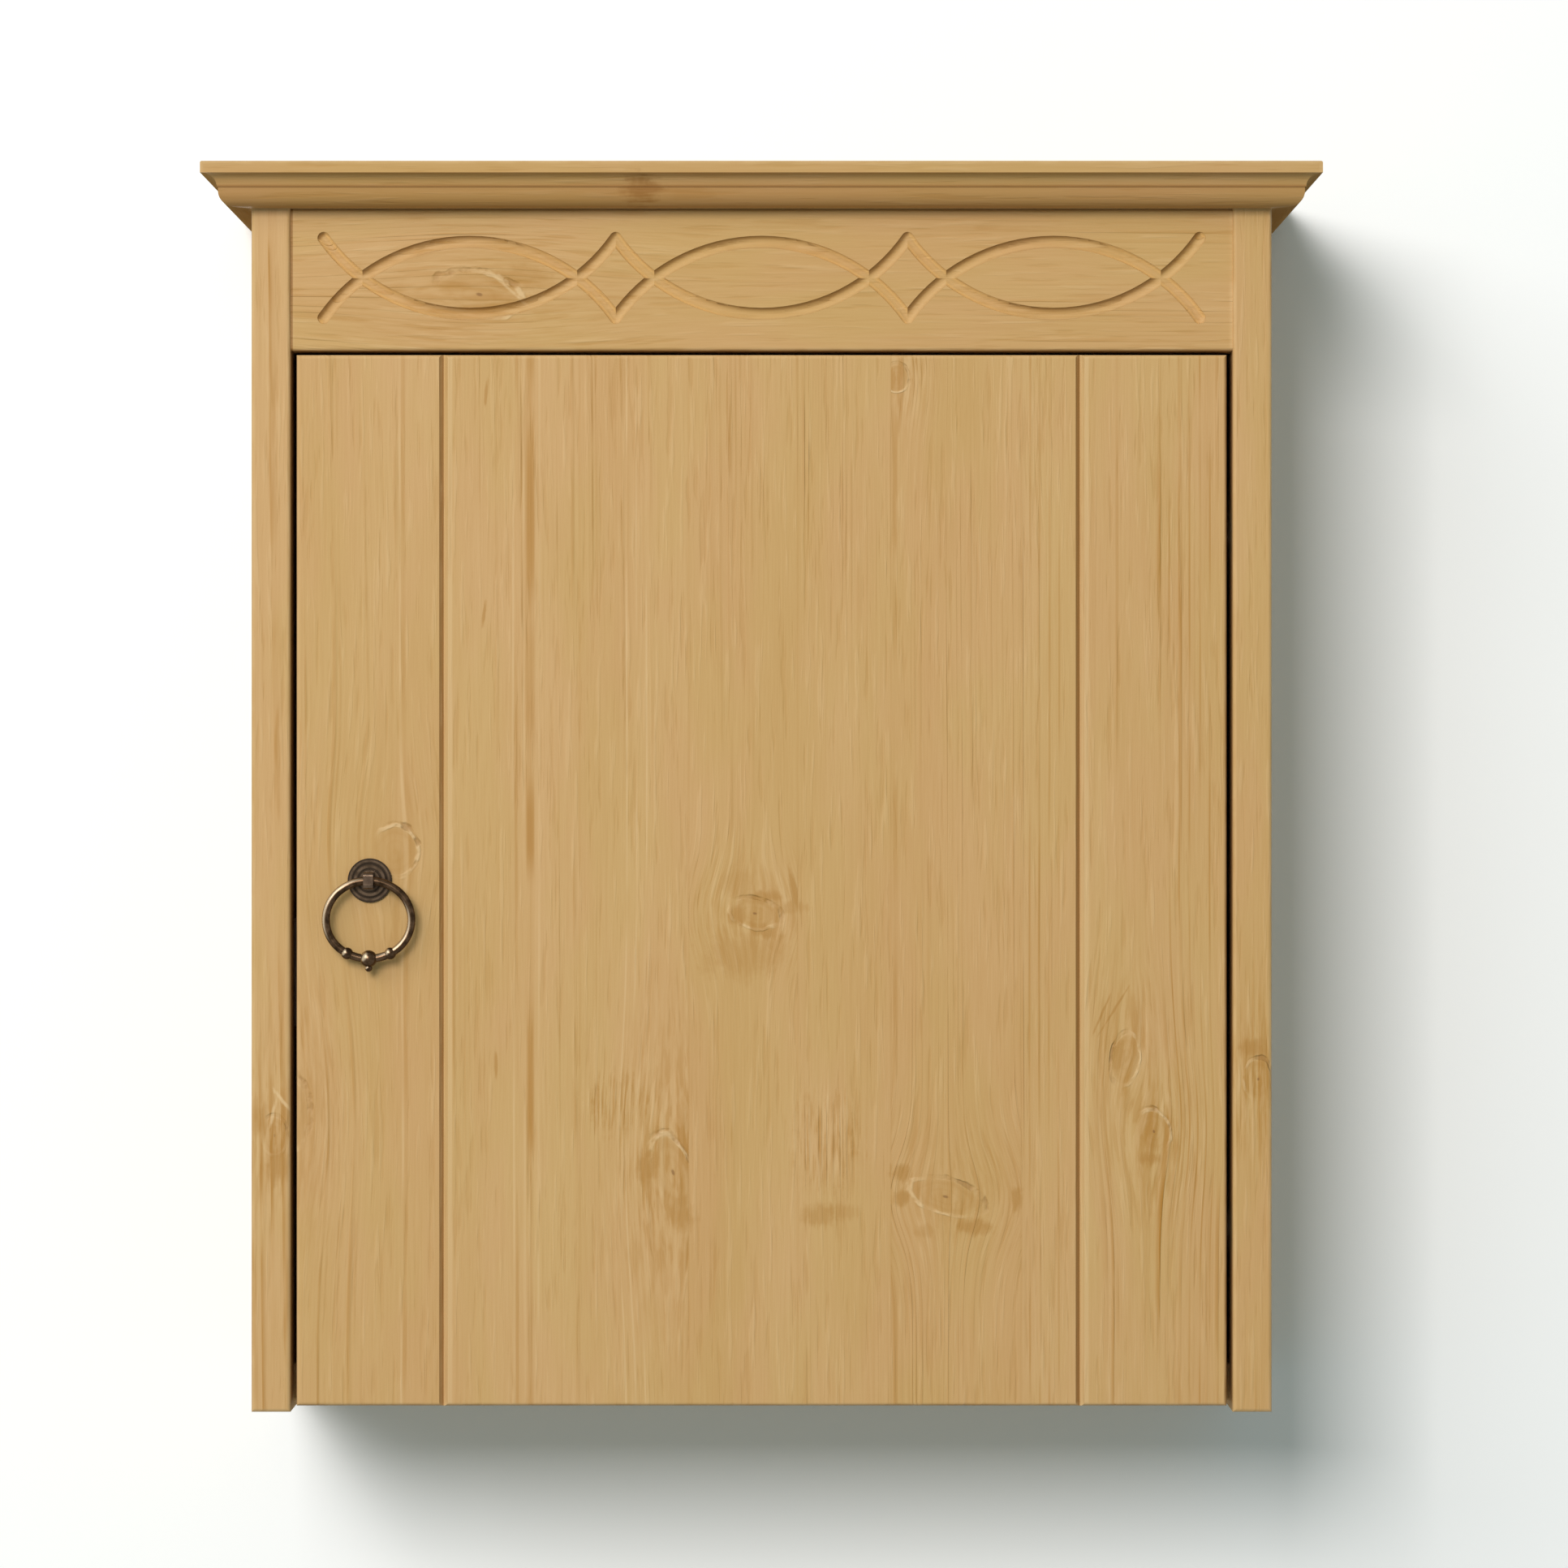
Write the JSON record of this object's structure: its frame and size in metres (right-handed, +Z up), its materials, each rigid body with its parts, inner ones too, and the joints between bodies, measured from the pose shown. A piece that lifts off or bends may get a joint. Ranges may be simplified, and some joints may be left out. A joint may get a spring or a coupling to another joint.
{
  "type": "wall-mounted bathroom cabinet",
  "caption": "Wall-hung pine cabinet with a side-hung boarded door, ring pull, moulded cornice and a frieze routed with interlaced arcs, and a shelf inside.",
  "frame": {"origin": "on the wall plane, midway between the two hanging holes", "axes": "+X to the viewer's right, +Y back into the wall, +Z up"},
  "size_m": [0.572, 0.234, 0.64],
  "materials": {
    "pine": "satin",
    "back_board": "matte",
    "beech": "matte",
    "nickel_steel": "satin",
    "zinc_screws": "satin",
    "brown_plastic": "matte",
    "magnet": "satin",
    "antique_brass": "satin"
  },
  "bodies": {
    "carcass": {"left_side": "pine", "right_side": "pine", "top_board": "pine", "bottom_panel": "pine", "hanging_rail": "pine", "frieze_rail": "pine", "cornice_front": "pine", "cornice_left_return": "pine", "cornice_right_return": "pine", "shelf": "pine", "back_panel": "back_board", "bottom_dowels": "beech", "frieze_dowels": "beech", "rail_dowels": "beech", "top_dowels": "beech", "lower_hinge_arm": "nickel_steel", "lower_hinge_plate": "nickel_steel", "upper_hinge_arm": "nickel_steel", "upper_hinge_plate": "nickel_steel", "shelf_pins": "nickel_steel", "hinge_plate_screws": "zinc_screws", "hinge_arm_screws": "zinc_screws", "catch_screws": "zinc_screws", "back_panel_nails": "zinc_screws", "catch_housing": "brown_plastic", "catch_magnet": "magnet"},
    "door": {"door_left_board": "pine", "door_centre_panel": "pine", "door_right_board": "pine", "door_upper_batten": "pine", "door_lower_batten": "pine", "door_batten_screws": "zinc_screws", "lower_hinge_cup": "nickel_steel", "upper_hinge_cup": "nickel_steel", "lower_hinge_pin": "nickel_steel", "upper_hinge_pin": "nickel_steel", "hinge_cup_screws": "zinc_screws", "strike_plate": "nickel_steel", "strike_screws": "zinc_screws", "handle_rosette": "antique_brass", "handle_eye": "antique_brass", "handle_bolt": "zinc_screws", "handle_washer": "nickel_steel"},
    "ring_pull": {"handle_ring": "antique_brass"}
  },
  "joints": [
    {"name": "door_hinge", "type": "hinge", "parent": "carcass", "child": "door", "pos_m": [0.2315, -0.2005, -0.315], "axis": [0, 0, 1], "range_deg": [0, 100]},
    {"name": "ring_swing", "type": "hinge", "parent": "door", "child": "ring_pull", "pos_m": [-0.20125, -0.217, -0.315], "axis": [-1, 0, 0], "range_deg": [-4, 110]}
  ]
}
